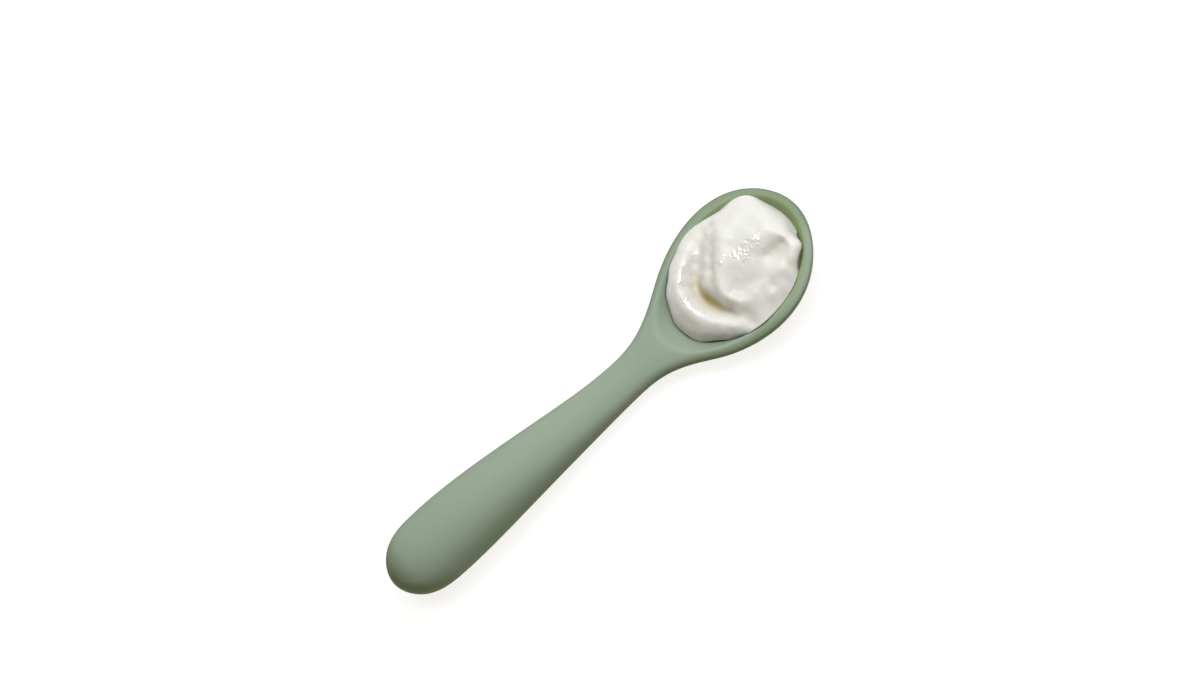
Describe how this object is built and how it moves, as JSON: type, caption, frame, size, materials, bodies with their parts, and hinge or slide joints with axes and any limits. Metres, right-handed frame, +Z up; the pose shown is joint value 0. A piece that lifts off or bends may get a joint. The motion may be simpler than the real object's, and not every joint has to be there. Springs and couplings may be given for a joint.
{
  "type": "spoon of yogurt",
  "caption": "Soft moulded infant feeding spoon with a thick round handle and an egg-shaped bowl, holding a heaped scoop of thick white yogurt.",
  "frame": {"origin": "on the ground plane under the middle of the spoon's length and width", "axes": "+X along the spoon from the handle's end to the bowl's tip, +Z up"},
  "size_m": [0.11, 0.0294, 0.0154],
  "materials": {
    "silicone": "matte sage-green moulded silicone",
    "yogurt": "moist thick white yogurt"
  },
  "bodies": {
    "root": {"spoon": "silicone", "yogurt": "yogurt"}
  },
  "joints": []
}
